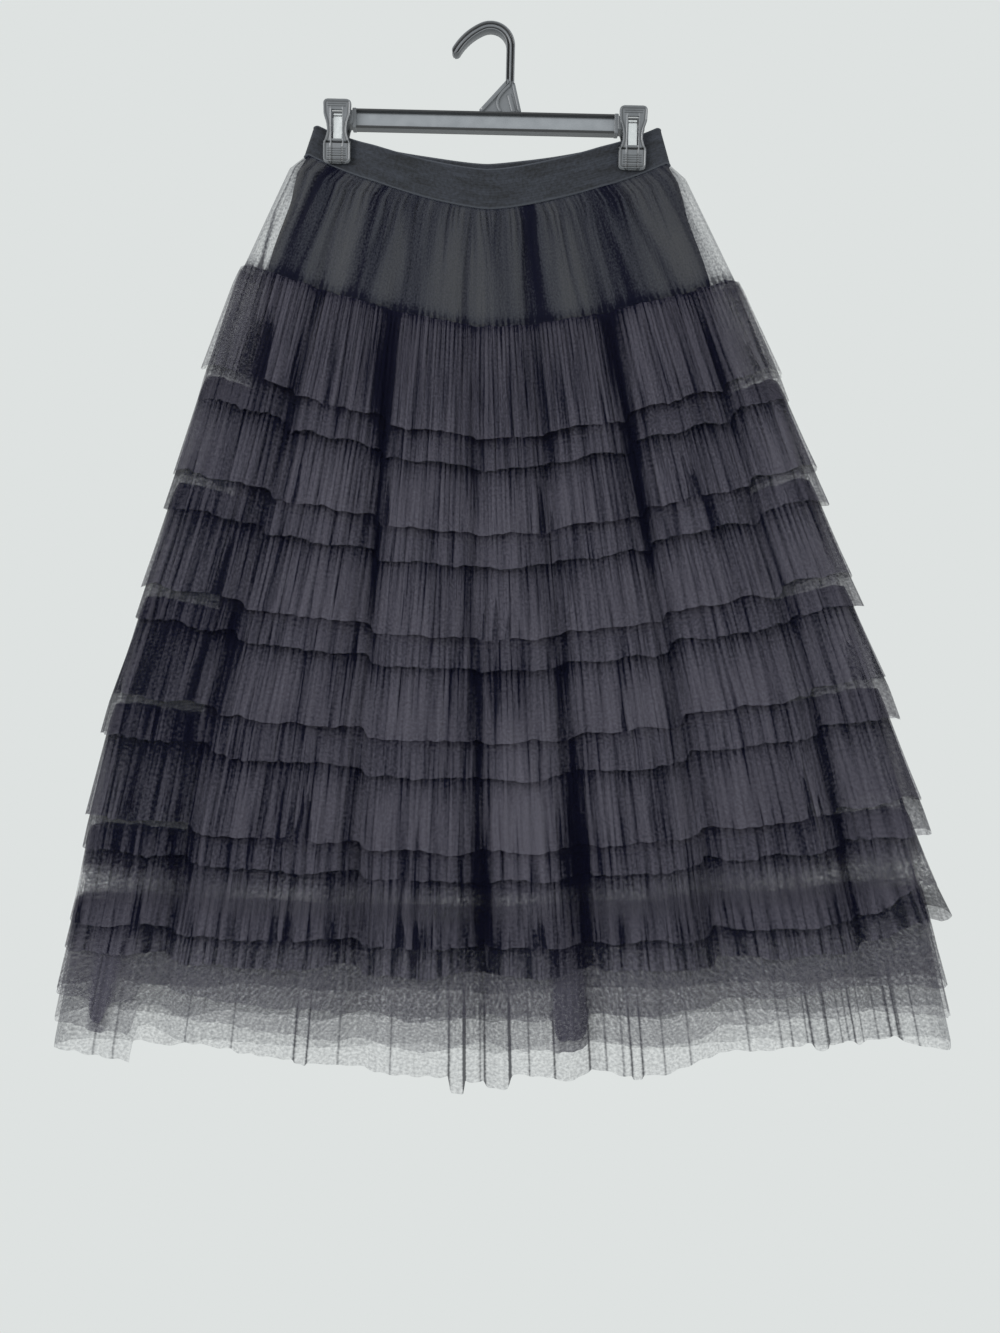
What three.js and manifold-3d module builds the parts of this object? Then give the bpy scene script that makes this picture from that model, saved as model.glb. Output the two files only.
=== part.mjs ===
// A tiered tulle skirt that hangs by two clips from a plastic skirt hanger, in millimetres.
// +Z is up, the front faces -Y, and the origin is the inside top of the hanger's hook.
import * as THREE from "three";
import { mergeVertices } from "three/addons/utils/BufferGeometryUtils.js";
import Module from "manifold-3d";

const wasm = await Module();
wasm.setup();

// Driving dimensions of the cloth.
const WAIST_Z = -169; // waist seam at the centre front, below the hook
const BAND_HEIGHT = 37; // elastic waistband
const BAND_TOP_HALF = 163; // half width along the band's top edge
const BAND_WALL = 2; // thickness of the elastic
const TULLE_WALL = 1.3; // thickness of each tulle wall
const LINING_WALL = 1.2; // thickness of the lining
const SEAM_GAP = 0.3; // between pieces that are sewn together
const LEAN = 14; // how far the hem hangs to the right of the waist
const RISE_POWER = 1.5; // how the edges curve up from the centre to the sides
const PINCH_SPREAD = 0.14; // share of the half width that each clip flattens, either way

// Sections of the tulle skirt down from the waist seam: half width, bulge of the front and back,
// radius of the side folds, how far the sides rise over the centre and the right side drops below
// the left, share of each fold's full depth, height of the gathered waves, and how far the clips pinch.
const SKIRT_SECTIONS = [
  { drop: 0, half: 172, front: 6, back: 6, round: 5, rise: 47, tilt: 4, fold: 0, wave: 0, pinch: 2.2 },
  { drop: 14, half: 187, front: 12, back: 12, round: 8, rise: 48, tilt: 5, fold: 0.1, wave: 2.2, pinch: 1.2 },
  { drop: 115, half: 232, front: 21, back: 16, round: 9, rise: 54, tilt: 7, fold: 0.25, wave: 0, pinch: 0 },
  { drop: 229, half: 266, front: 25, back: 18, round: 10, rise: 70, tilt: 2, fold: 0.43, wave: 0, pinch: 0 },
  { drop: 317, half: 294, front: 29, back: 20, round: 11, rise: 62, tilt: -2, fold: 0.55, wave: 0, pinch: 0 },
  { drop: 412, half: 325, front: 33, back: 22, round: 11, rise: 55, tilt: -5, fold: 0.67, wave: 0, pinch: 0 },
  { drop: 505, half: 355, front: 36, back: 24, round: 12, rise: 50, tilt: -7, fold: 0.78, wave: 0, pinch: 0 },
  { drop: 603, half: 380, front: 40, back: 26, round: 12, rise: 34, tilt: -7, fold: 0.9, wave: 0, pinch: 0 },
  { drop: 658, half: 392, front: 42, back: 27, round: 13, rise: 22, tilt: -6, fold: 1, wave: 0, pinch: 0 },
  { drop: 793, half: 421, front: 46, back: 29, round: 14, rise: 14, tilt: -1, fold: 1, wave: 3, pinch: 0 },
];
const HEM_DROP = SKIRT_SECTIONS.at(-1).drop;

// The waistband has the skirt's outline along its lower edge and draws in to its top edge.
const BAND_SECTIONS = [
  { ...SKIRT_SECTIONS[0], drop: -SEAM_GAP - BAND_HEIGHT, half: BAND_TOP_HALF, rise: 40, tilt: 1 },
  { ...SKIRT_SECTIONS[0], drop: -SEAM_GAP },
];

// Sections of the lining, an A-line tube that is narrower than the tulle over it.
const LINING_SECTIONS = [
  { drop: 0, half: 172, front: 6, back: 6, round: 5, rise: 47, tilt: 4, inset: 3.1, pinch: 2.2 },
  { drop: 14, half: 181, front: 8, back: 8, round: 5, rise: 48, tilt: 5, inset: 2.8, pinch: 1 },
  { drop: 115, half: 212, front: 13, back: 10, round: 6, rise: 54, tilt: 7, inset: 2.8, pinch: 0 },
  { drop: 635, half: 300, front: 17, back: 13, round: 8, rise: 30, tilt: -5, inset: 2.8, pinch: 0 },
].map((row) => ({ ...row, fold: 0, wave: 0 }));

// Large folds that run from the waist to the hem. Places are shares of the half width, depth is
// at the hem, and hidden is the share of cloth that each fold tucks away.
const FRONT_FOLDS = [
  { top: -0.68, hem: -0.8, width: 0.08, depth: 14, hidden: 0.03 },
  { top: -0.41, hem: -0.32, width: 0.075, depth: 19, hidden: 0.04 },
  { top: -0.07, hem: -0.03, width: 0.075, depth: 17, hidden: 0.01 },
  { top: 0.18, hem: 0.21, width: 0.075, depth: 18, hidden: 0.01 },
  { top: 0.49, hem: 0.51, width: 0.08, depth: 20, hidden: 0.04 },
  { top: 0.84, hem: 0.86, width: 0.075, depth: 13, hidden: 0.03 },
];
const BACK_FOLDS = [
  { top: -0.7, hem: -0.76, width: 0.09, depth: 10, hidden: 0.03 },
  { top: -0.34, hem: -0.4, width: 0.09, depth: 11, hidden: 0.03 },
  { top: 0.05, hem: 0.02, width: 0.09, depth: 11, hidden: 0.01 },
  { top: 0.4, hem: 0.44, width: 0.09, depth: 11, hidden: 0.03 },
  { top: 0.74, hem: 0.78, width: 0.09, depth: 9, hidden: 0.03 },
];

// Pleated tiers, each a double strip: drops of the seam and of the two hems, how far the inner hem
// stands off, the height and phase of its waves, and how far its right corner sticks out.
const TIERS = [
  { seam: 115, outerHem: 220, innerHem: 248, standOff: 9, wave: 3, phase: 0, corner: 0 },
  { seam: 229, outerHem: 308, innerHem: 338, standOff: 9, wave: 3, phase: 2, corner: 0 },
  { seam: 317, outerHem: 403, innerHem: 431, standOff: 9, wave: 3, phase: 1, corner: 0 },
  { seam: 412, outerHem: 496, innerHem: 529, standOff: 9, wave: 3, phase: 3, corner: 0 },
  { seam: 505, outerHem: 594, innerHem: 620, standOff: 9, wave: 3, phase: 0, corner: 8 },
  { seam: 603, outerHem: 679, innerHem: 704, standOff: 9, wave: 3, phase: 2, corner: 22 },
  { seam: 658, outerHem: 743, innerHem: 769, standOff: 4.5, wave: 1.5, phase: 1, corner: 0 },
];
const OUTER_STAND_OFF = 2.5; // how much further the outer strip of a tier stands off than the inner

// Columns of a panel: the side folds are arcs, and four columns make one ruffle wave.
const FRONT_WAVES = 12;
const BACK_WAVES = 8;
const PLAIN_COLUMNS = 24; // on the smooth waistband and lining
const COLUMNS_PER_WAVE = 4;
const SIDE_ARC_DEGREES = [0, 30, 60];
const WAVE_SHAPE = [1, 0, -1, 0];
const WAVE_END = 0.94; // share of the half width where the waves die out
const WAVE_UNEVEN = 0.25; // how much the waves differ in height
const WAVE_BEAT = 1.7; // how fast that changes from column to column

// Driving dimensions of the hanger.
const HANG_TILT = 1.3; // degrees that the hanger hangs out of level
const HOOK = {
  x: 3.2, // centre of the tight arc over the shank
  z: -14.7,
  inner: 15, // inside radius of the tight arc
  width: 8,
  depth: 9,
  bend: 115, // degrees round to where the wide arc takes over
  sweep: 54, // middle radius of the wide arc
  end: 150, // degrees round to the tip
  shank: 46.8, // straight inside edge, down from the origin
};
const GUSSET = { left: -7, right: 33.4, shoulder: 52 };
const BAR = { top: -76.5, height: 18, half: 122, depth: 9, flange: 2, web: 3, cap: 2 };
const PEG = { length: 9.5, depth: 13, inset: 2.5 }; // at each end of the bar, gripped by a clip
const CLIP = {
  at: 138, // from the middle of the bar
  bottom: -128.4,
  height: 56,
  wall: 2.6,
  tilt: 5, // degrees that each jaw leans out from its pad
  pad: 12.5, // half width of the pad
  padTop: 16,
  neck: 9, // half width of the neck
  neckLow: 25,
  neckHigh: 32,
  tab: 12.7, // half width of the grip tab
  tabLow: 44,
  corner: 4,
};
const CLIP_SLOT = { half: 4.8, low: 21, high: 47 };
const PAD_Y = 3.8; // inner face of a clip's pad at its lower edge
const SPRING = { half: 4, wall: 1, low: 22, high: 48, reach: 5 };
const ARC_SEGMENTS = 10; // along each arc of the hook and the springs

// Finishes.
const finish = (color, roughness, metalness = 0) =>
  new THREE.MeshStandardMaterial({ color, roughness, metalness });
const ELASTIC = finish("#33363d", 0.8);
const LINING = finish("#3a3a3b", 0.6);
const SHEER = finish("#3d3f46", 0.85);
const PLEATED = finish("#34343d", 0.85);
const PLASTIC = finish("#4a4c50", 0.45);
const STEEL = finish("#c9cbd0", 0.25, 1);

const radians = THREE.MathUtils.degToRad;
const lerp = THREE.MathUtils.lerp;

// The two rows of a table around a drop, and the drop's share of the way between them.
function rowsAround(rows, drop) {
  const below = Math.max(1, rows.findIndex((row) => row.drop >= drop));
  const [a, b] = [rows[below - 1], rows[below]];
  return [a, b, (drop - a.drop) / (b.drop - a.drop)];
}

// Columns across a panel from one side seam to the other: arcs round the side folds, and places across.
function panelColumns(count) {
  const arcs = (side) => SIDE_ARC_DEGREES.map((degrees) => ({ side, angle: radians(degrees), across: side }));
  const place = (_, index) => ({ index, across: (2 * index) / count - 1 });
  const middle = Array.from({ length: count + 1 }, place);
  return [...arcs(-1), ...middle, ...arcs(1).reverse()];
}

// The two halves of the skirt: the way each faces, its folds and its columns.
const FRONT = {
  name: "front",
  facing: 1,
  folds: FRONT_FOLDS,
  columns: panelColumns(FRONT_WAVES * COLUMNS_PER_WAVE),
};
const BACK = {
  name: "back",
  facing: -1,
  folds: BACK_FOLDS,
  columns: panelColumns(BACK_WAVES * COLUMNS_PER_WAVE),
};
const HALVES = [FRONT, BACK];

const foldPlace = (fold, drop) => lerp(fold.top, fold.hem, drop / HEM_DROP);

// Depth of the large folds at a place: a soft trough for each fold.
function foldDepth(half, section, across) {
  const offset = (fold) => (across - foldPlace(fold, section.drop)) / fold.width;
  const trough = (fold) => fold.depth * Math.exp(-(offset(fold) ** 2));
  return section.fold * half.folds.reduce((sum, fold) => sum + trough(fold), 0);
}

// Share of the side rise at a place. The cloth that a fold hides makes a step in it.
function riseShare(half, section, across) {
  const step = (fold, at) => fold.hidden * Math.tanh((at - foldPlace(fold, section.drop)) / (fold.width / 2));
  const cloth = (at) => at + section.fold * half.folds.reduce((sum, fold) => sum + step(fold, at), 0);
  return Math.abs(cloth(across) / cloth(Math.sign(across) || 1)) ** RISE_POWER;
}

// Height of a soft wave that repeats every four columns and dies out at the side folds.
function waveHeight(column, phase) {
  if (column.side || Math.abs(column.across) > WAVE_END) return 0;
  const uneven = 1 - WAVE_UNEVEN + WAVE_UNEVEN * Math.sin(WAVE_BEAT * column.index + phase);
  return uneven * WAVE_SHAPE[(column.index + phase) % COLUMNS_PER_WAVE];
}

// A point on one section: on its outline, then along the outline's normal, out by the gathers and
// the given height and in by the folds.
function sectionPoint(half, section, column, height) {
  const bulge = half.facing > 0 ? section.front : section.back;
  const reach = section.half - section.round;
  const { across, side, angle } = column;
  let x, out, normal, face;
  if (side) {
    normal = [side * Math.cos(angle), Math.sin(angle)];
    x = side * reach + section.round * normal[0];
    out = section.round * normal[1];
    face = 0;
  } else {
    const pinched = Math.exp(-(((Math.abs(across) - CLIP.at / section.half) / PINCH_SPREAD) ** 4));
    const slope = (2 * across * (bulge - section.round)) / reach;
    normal = [slope / Math.hypot(slope, 1), 1 / Math.hypot(slope, 1)];
    x = across * reach;
    out = section.round + (bulge - section.round) * (1 - across ** 2) - section.pinch * pinched;
    face = section.wave * waveHeight(column, 1) - foldDepth(half, section, across);
  }
  const lean = (LEAN * Math.max(0, section.drop)) / HEM_DROP;
  const rise = section.rise * riseShare(half, section, across) - section.tilt * half.facing * across;
  return [
    half.facing * (x + normal[0] * (face + height)) + lean,
    -half.facing * (out + normal[1] * (face + height) + SEAM_GAP / 2),
    WAIST_Z - section.drop + rise,
  ];
}

// A point of the cloth at any drop: straight cloth between the two rows of the table around it.
function clothPoint(half, table, column, drop, height) {
  const [a, b, share] = rowsAround(table, drop);
  const [upper, lower] = [a, b].map((row) => sectionPoint(half, row, column, height));
  return upper.map((value, axis) => lerp(value, lower[axis], share));
}

// A closed wall from rows of outer and inner points.
function wallGeometry(rows) {
  const across = rows[0].length;
  const outer = (r, c) => 2 * (r * across + c);
  const inner = (r, c) => outer(r, c) + 1;
  const index = [];
  const quad = (a, b, c, d) => index.push(a, b, c, a, c, d);
  for (let r = 0; r + 1 < rows.length; r++) {
    for (let c = 0; c + 1 < across; c++) {
      quad(outer(r, c), outer(r + 1, c), outer(r + 1, c + 1), outer(r, c + 1));
      quad(inner(r, c), inner(r, c + 1), inner(r + 1, c + 1), inner(r + 1, c));
    }
    const end = across - 1;
    quad(outer(r, 0), inner(r, 0), inner(r + 1, 0), outer(r + 1, 0));
    quad(outer(r, end), outer(r + 1, end), inner(r + 1, end), inner(r, end));
  }
  const last = rows.length - 1;
  for (let c = 0; c + 1 < across; c++) {
    quad(outer(0, c), outer(0, c + 1), inner(0, c + 1), inner(0, c));
    quad(outer(last, c), inner(last, c), inner(last, c + 1), outer(last, c + 1));
  }
  const geometry = new THREE.BufferGeometry();
  geometry.setAttribute("position", new THREE.Float32BufferAttribute(rows.flat(2).flat(), 3));
  geometry.setIndex(index);
  return geometry;
}

// A cloth wall of one half over a table's sections. Each row gives a drop and the height of the
// wall's inner face at a column.
function clothWall(half, columns, table, thickness, rows) {
  return wallGeometry(
    rows.map(({ drop, height }) =>
      columns.map((column) =>
        [thickness, 0].map((outward) => clothPoint(half, table, column, drop, height(column) + outward)),
      ),
    ),
  );
}

function piece(name, geometry, material) {
  const mesh = new THREE.Mesh(geometry, material);
  mesh.name = name;
  return mesh;
}

// The elastic band, joined to the skirt along the waist seam.
function waistband(half) {
  const rows = BAND_SECTIONS.map(({ drop }) => ({ drop, height: () => -BAND_WALL }));
  return clothWall(half, panelColumns(PLAIN_COLUMNS), BAND_SECTIONS, BAND_WALL, rows);
}

// The lining, a plain A-line panel inside the tulle.
function lining(half) {
  const rows = LINING_SECTIONS.map(({ drop, inset }) => ({ drop, height: () => -inset }));
  return clothWall(half, panelColumns(PLAIN_COLUMNS), LINING_SECTIONS, LINING_WALL, rows);
}

// The long tulle panel that carries the tiers, gathered into the waist.
function skirtPanel(half) {
  const rows = SKIRT_SECTIONS.map(({ drop }) => ({ drop, height: () => -TULLE_WALL }));
  return clothWall(half, half.columns, SKIRT_SECTIONS, TULLE_WALL, rows);
}

// One strip of a tier, sewn on at its seam and standing off towards its hem.
function tierStrip(half, tier, hem, seat, standOff) {
  const ruffle = (column) => standOff + tier.wave * waveHeight(column, tier.phase);
  const corner = (column) => (half.facing * column.side > 0 ? tier.corner * Math.cos(column.angle) ** 2 : 0);
  const rows = [tier.seam, hem].map((drop) => {
    const share = (drop - tier.seam) / (tier.innerHem - tier.seam);
    return { drop, height: (column) => seat + share * (ruffle(column) + corner(column)) };
  });
  return clothWall(half, half.columns, SKIRT_SECTIONS, TULLE_WALL, rows);
}

function addSkirt(group) {
  for (const half of HALVES) {
    group.add(piece(`waistband_${half.name}`, waistband(half), ELASTIC));
    group.add(piece(`lining_${half.name}`, lining(half), LINING));
    group.add(piece(`skirt_${half.name}`, skirtPanel(half), SHEER));
    TIERS.forEach((tier, index) => {
      const name = `tier${index + 1}`;
      const outerSeat = TULLE_WALL + 2 * SEAM_GAP;
      const inner = tierStrip(half, tier, tier.innerHem, SEAM_GAP, tier.standOff);
      const outer = tierStrip(half, tier, tier.outerHem, outerSeat, tier.standOff + OUTER_STAND_OFF);
      group.add(piece(`${name}_inner_${half.name}`, inner, PLEATED));
      group.add(piece(`${name}_outer_${half.name}`, outer, PLEATED));
    });
  }
}

// A flat shape in X and Z, given a depth along Y and centred on it.
function plate(shape, depth) {
  const options = { depth, bevelEnabled: false, curveSegments: ARC_SEGMENTS };
  const geometry = new THREE.ExtrudeGeometry(shape, options);
  return geometry.rotateX(Math.PI / 2).translate(0, depth / 2, 0);
}

// The hook and the gusset that stands on the bar, moulded in one. A wide arc that ends in a round
// tip carries on from the tight arc over the shank.
function hook() {
  const { x, z, inner, width, depth, bend, sweep, end, shank } = HOOK;
  const outer = inner + width;
  const [bendAngle, endAngle] = [radians(bend), radians(end)];
  const shift = sweep - inner - width / 2;
  const wide = { x: x - shift * Math.cos(bendAngle), z: z - shift * Math.sin(bendAngle) };
  const tip = { x: wide.x + sweep * Math.cos(endAngle), z: wide.z + sweep * Math.sin(endAngle) };
  const foot = BAR.top + SEAM_GAP;
  const shape = new THREE.Shape();
  shape.moveTo(GUSSET.left, foot);
  shape.lineTo(x + inner, -shank);
  shape.absarc(x, z, inner, 0, bendAngle, false);
  shape.absarc(wide.x, wide.z, sweep - width / 2, bendAngle, endAngle, false);
  shape.absarc(tip.x, tip.z, width / 2, endAngle + Math.PI, endAngle, true);
  shape.absarc(wide.x, wide.z, sweep + width / 2, endAngle, bendAngle, true);
  shape.absarc(x, z, outer, bendAngle, 0, true);
  shape.lineTo(x + outer, -GUSSET.shoulder);
  shape.lineTo(GUSSET.right, foot);
  return plate(shape, depth);
}

// A closed geometry as a solid that can be joined to others.
function solid(geometry) {
  const bare = geometry.clone();
  bare.deleteAttribute("normal");
  bare.deleteAttribute("uv");
  const merged = mergeVertices(bare, 1e-4);
  const mesh = new wasm.Mesh({
    numProp: 3,
    vertProperties: merged.attributes.position.array,
    triVerts: new Uint32Array(merged.index.array),
  });
  return new wasm.Manifold(mesh);
}

function joined(geometries) {
  const whole = geometries.map(solid).reduce((sum, next) => sum.add(next)).getMesh();
  const geometry = new THREE.BufferGeometry();
  geometry.setAttribute("position", new THREE.BufferAttribute(new Float32Array(whole.vertProperties), 3));
  geometry.setIndex(new THREE.BufferAttribute(new Uint32Array(whole.triVerts), 1));
  return geometry;
}

// The I-section bar, with a cap plate and a peg at each end.
function bar() {
  const { top, height, half, depth, flange, web, cap } = BAR;
  const low = top - height;
  const box = (x0, x1, y, z0, z1) =>
    new THREE.BoxGeometry(x1 - x0, y, z1 - z0).translate((x0 + x1) / 2, 0, (z0 + z1) / 2);
  const ends = [-1, 1].flatMap((side) => {
    const place = side * (half + cap / 2);
    const pegPlace = side * (half + cap + PEG.length / 2 - cap / 2);
    const pegHalf = (PEG.length + cap) / 2;
    return [
      box(place - cap, place + cap, depth, low, top),
      box(pegPlace - pegHalf, pegPlace + pegHalf, PEG.depth, low + PEG.inset, top - PEG.inset),
    ];
  });
  return joined([
    box(-half, half, depth, top - flange, top),
    box(-half, half, depth, low, low + flange),
    box(-half, half, web, low, top),
    ...ends,
  ]);
}

// One jaw of a clip, seen from the front: grip tab, narrow neck with a slot, and pad.
function jaw() {
  const { height, wall, pad, padTop, neck, neckLow, neckHigh, tab, tabLow, corner } = CLIP;
  const edge = [
    [pad - corner, 0],
    [pad, corner],
    [pad, padTop],
    [neck, neckLow],
    [neck, neckHigh],
    [tab, tabLow],
    [tab, height - corner],
    [tab - corner, height],
  ];
  const mirrored = edge.map(([x, z]) => [-x, z]).reverse();
  const shape = new THREE.Shape([...edge, ...mirrored].map(([x, z]) => new THREE.Vector2(x, z)));
  const { half, low, high } = CLIP_SLOT;
  const slot = [[-half, low], [-half, high], [half, high], [half, low]];
  shape.holes.push(new THREE.Path(slot.map(([x, z]) => new THREE.Vector2(x, z))));
  return new THREE.ExtrudeGeometry(shape, { depth: wall, bevelEnabled: false });
}

// The bent steel strip that holds the jaws shut, seen through their slots.
function spring() {
  const { half, wall, low, high, reach } = SPRING;
  const bend = high - reach;
  const shape = new THREE.Shape();
  shape.moveTo(reach, low);
  shape.lineTo(reach, bend);
  shape.absarc(0, bend, reach, 0, Math.PI, false);
  shape.lineTo(-reach, low);
  shape.lineTo(-reach + wall, low);
  shape.absarc(0, bend, reach - wall, Math.PI, 0, true);
  shape.lineTo(reach - wall, low);
  return plate(shape, 2 * half).rotateZ(Math.PI / 2);
}

function addHanger(group) {
  group.add(piece("hanger_hook", hook(), PLASTIC));
  group.add(piece("hanger_bar", bar(), PLASTIC));
  for (const [side, at] of [["left", -CLIP.at], ["right", CLIP.at]]) {
    const clip = new THREE.Group();
    clip.position.set(at, 0, CLIP.bottom);
    for (const [facing, turn] of [["front", 0], ["back", Math.PI]]) {
      const mount = new THREE.Group();
      mount.rotation.z = turn;
      const mesh = piece(`clip_${side}_${facing}`, jaw(), PLASTIC);
      mesh.rotation.x = Math.PI / 2 + radians(CLIP.tilt);
      mesh.position.y = -PAD_Y;
      mount.add(mesh);
      clip.add(mount);
    }
    clip.add(piece(`spring_${side}`, spring(), STEEL));
    group.add(clip);
  }
}

const skirtOnHanger = new THREE.Group();
const hanger = new THREE.Group();
hanger.rotation.y = radians(HANG_TILT);
addHanger(hanger);
addSkirt(skirtOnHanger);
skirtOnHanger.add(hanger);

export default skirtOnHanger;
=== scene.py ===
import bpy
import numpy as np
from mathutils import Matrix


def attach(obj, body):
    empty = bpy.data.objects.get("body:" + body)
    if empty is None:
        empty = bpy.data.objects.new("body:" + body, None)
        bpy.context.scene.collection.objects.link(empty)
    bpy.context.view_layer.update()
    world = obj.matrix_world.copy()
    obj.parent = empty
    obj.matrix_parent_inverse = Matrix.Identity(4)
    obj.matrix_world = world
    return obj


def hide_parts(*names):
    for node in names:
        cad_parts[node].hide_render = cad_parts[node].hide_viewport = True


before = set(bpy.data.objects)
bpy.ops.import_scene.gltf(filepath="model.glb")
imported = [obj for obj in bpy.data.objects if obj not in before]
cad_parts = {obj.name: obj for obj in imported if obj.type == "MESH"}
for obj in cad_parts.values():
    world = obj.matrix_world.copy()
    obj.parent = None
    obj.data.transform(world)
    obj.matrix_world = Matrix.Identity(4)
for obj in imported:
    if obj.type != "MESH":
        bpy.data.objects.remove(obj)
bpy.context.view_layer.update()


# Hanger bar and hook: black injection-moulded plastic. The bar is an I-section with a cap and a
# peg at each end, and the hook is an I-section too, bent over and moulded to a ribbed foot.
MM = 0.001
HANG_TILT = np.radians(1.3)  # the hanger hangs this far out of level


def linear(colour):
    """An sRGB hex colour as linear red, green, blue and alpha."""
    level = np.array([int(colour[i:i + 2], 16) for i in (1, 3, 5)]) / 255
    level = np.where(level <= 0.04045, level / 12.92, ((level + 0.055) / 1.055) ** 2.4)
    return (*level.tolist(), 1.0)


def node(tree, kind, inputs, **settings):
    """Adds a node, sets its properties, and gives each input a value or another node's output."""
    made = tree.nodes.new(kind)
    for name, value in settings.items():
        setattr(made, name, value)
    for socket, value in inputs.items():
        if isinstance(value, bpy.types.NodeSocket):
            tree.links.new(value, made.inputs[socket])
        else:
            made.inputs[socket].default_value = value
    return made


def new_material(name):
    """A new material, its node tree and its shader."""
    material = bpy.data.materials.new(name)
    material.use_nodes = True
    return material, material.node_tree, material.node_tree.nodes["Principled BSDF"]


def blend(tree, amount, first, second):
    """The colour between two others by an amount from 0 to 1. Each is a hex colour or an output."""
    first, second = (linear(colour) if isinstance(colour, str) else colour for colour in (first, second))
    return node(tree, "ShaderNodeMix", {0: amount, 6: first, 7: second}, data_type="RGBA").outputs[2]


def mark(tree, name):
    """The value of one of the mesh's own marks."""
    return node(tree, "ShaderNodeAttribute", {}, attribute_name=name).outputs["Fac"]


def surface(name, points, closed, turn=None, down=None, flat=False, keep=None, **marks):
    """A mesh object from a grid of points in millimetres, rows by columns. Each cell is one quad
    that faces out of a grid whose rows go down and columns go right. A closed grid joins its last
    column to its first. `turn` and `down` are the UV map, `keep` drops cells, `marks` are attributes."""
    rows, columns = points.shape[:2]
    index = np.arange(rows * columns).reshape(rows, columns)
    index = np.concatenate([index, index[:, :1]], axis=1) if closed else index
    cells = np.stack([index[:-1, :-1], index[1:, :-1], index[1:, 1:], index[:-1, 1:]], axis=-1)
    kept = np.ones(cells.shape[:2], bool) if keep is None else keep
    corners = cells[kept].ravel().astype(np.int32)
    mesh = bpy.data.meshes.new(name)
    mesh.vertices.add(rows * columns)
    mesh.vertices.foreach_set("co", (points * MM).ravel())
    mesh.loops.add(corners.size)
    mesh.loops.foreach_set("vertex_index", corners)
    mesh.polygons.add(corners.size // 4)
    mesh.polygons.foreach_set("loop_start", np.arange(0, corners.size, 4, dtype=np.int32))
    mesh.update(calc_edges=True)
    if turn is not None:
        turn = np.concatenate([turn, turn[:, :1] + 1], axis=1) if closed else turn
        down = np.concatenate([down, down[:, :1]], axis=1) if closed else down
        place = np.stack([turn, down], axis=-1)
        around = [place[:-1, :-1], place[1:, :-1], place[1:, 1:], place[:-1, 1:]]
        around = np.stack(around, axis=2)[kept]
        mesh.uv_layers.new(name="UVMap").data.foreach_set("uv", around.ravel())
    for mark, values in marks.items():
        values = np.broadcast_to(values, (rows, columns)).ravel().astype(np.float32)
        mesh.attributes.new(mark, "FLOAT", "POINT").data.foreach_set("value", values)
    if flat:
        mesh.shade_flat()
    made = bpy.data.objects.new(name, mesh)
    bpy.context.scene.collection.objects.link(made)
    return made


def hung(points):
    """Points of the hanger turned about the hook by the hanger's tilt."""
    x, y, z = np.moveaxis(points, -1, 0)
    across = x * np.cos(HANG_TILT) + z * np.sin(HANG_TILT)
    return np.stack([across, y, z * np.cos(HANG_TILT) - x * np.sin(HANG_TILT)], axis=-1)


def carried(path, profile, width):
    """A closed profile carried along a path in X and Z. The profile's first number is measured
    across the path in its own plane, scaled by `width` at each point, and its second along Y.
    Two more rows draw each end together in its middle, so the ends are shut."""
    along = np.gradient(path, axis=0)
    along /= np.linalg.norm(along, axis=1, keepdims=True)
    side = np.stack([-along[:, 1], along[:, 0]], axis=1)
    reach = profile[None, :, 0] * width[:, None]
    x = path[:, None, 0] + side[:, None, 0] * reach
    z = path[:, None, 1] + side[:, None, 1] * reach
    y = np.broadcast_to(profile[None, :, 1], x.shape)
    rows = np.stack([x, y, z], axis=-1)
    ends = rows.mean(axis=1, keepdims=True)
    first = np.broadcast_to(ends[:1], rows[:1].shape)
    last = np.broadcast_to(ends[-1:], rows[-1:].shape)
    return np.concatenate([first, rows, last])


def plastic(name, colour, rough):
    """Moulded polystyrene, satin from a lightly textured mould. The eye sees a near-black body
    that turns grey where it mirrors a bright room, with faint flow marks and handling scuffs. The grey
    is a painted reflection in the base colour, and the marked grooves are painted shade."""
    material, tree, shader = new_material(name)
    shader.inputs["IOR"].default_value = 1.59
    place = node(tree, "ShaderNodeTexCoord", {}).outputs["Object"]
    # Flow marks about 12 mm long and mould grain about 0.8 mm, coarser than life so that it shows.
    flow = node(tree, "ShaderNodeTexNoise", {"Vector": place, "Scale": 1 / 0.012, "Detail": 4.0})
    grain = node(tree, "ShaderNodeTexNoise", {"Vector": place, "Scale": 1 / 0.0008, "Detail": 2.0})
    tint = blend(tree, flow.outputs["Fac"], *colour)
    # Painted shade: the marked grooves, flange faces and slits are darkened to the raw black of the plastic,
    # where shadow falls and no bright room is mirrored.
    tint = blend(tree, mark(tree, "hollow"), tint, "#0b0c0e")
    gloss = node(tree, "ShaderNodeMapRange", {"Value": flow.outputs["Fac"], "To Min": rough - 0.1,
                                              "To Max": rough + 0.12})
    bump = node(tree, "ShaderNodeBump", {"Height": grain.outputs["Fac"], "Strength": 0.12,
                                         "Distance": 0.0002})
    tree.links.new(tint, shader.inputs["Base Color"])
    tree.links.new(gloss.outputs["Result"], shader.inputs["Roughness"])
    tree.links.new(bump.outputs["Normal"], shader.inputs["Normal"])
    return material


# Painted reflection: the grey base colour stands in for the bright room that the near-black plastic mirrors.
plastic_with_painted_reflection = plastic("moulded_polystyrene", ("#5a5d61", "#74777b"), 0.34)


def black_part(piece, *nodes, finish=plastic_with_painted_reflection):
    """Gives a moulded piece its finish and puts it in the frame in place of its CAD nodes."""
    piece.data.materials.append(finish)
    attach(piece, "root")
    if nodes:
        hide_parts(*nodes)


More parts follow.
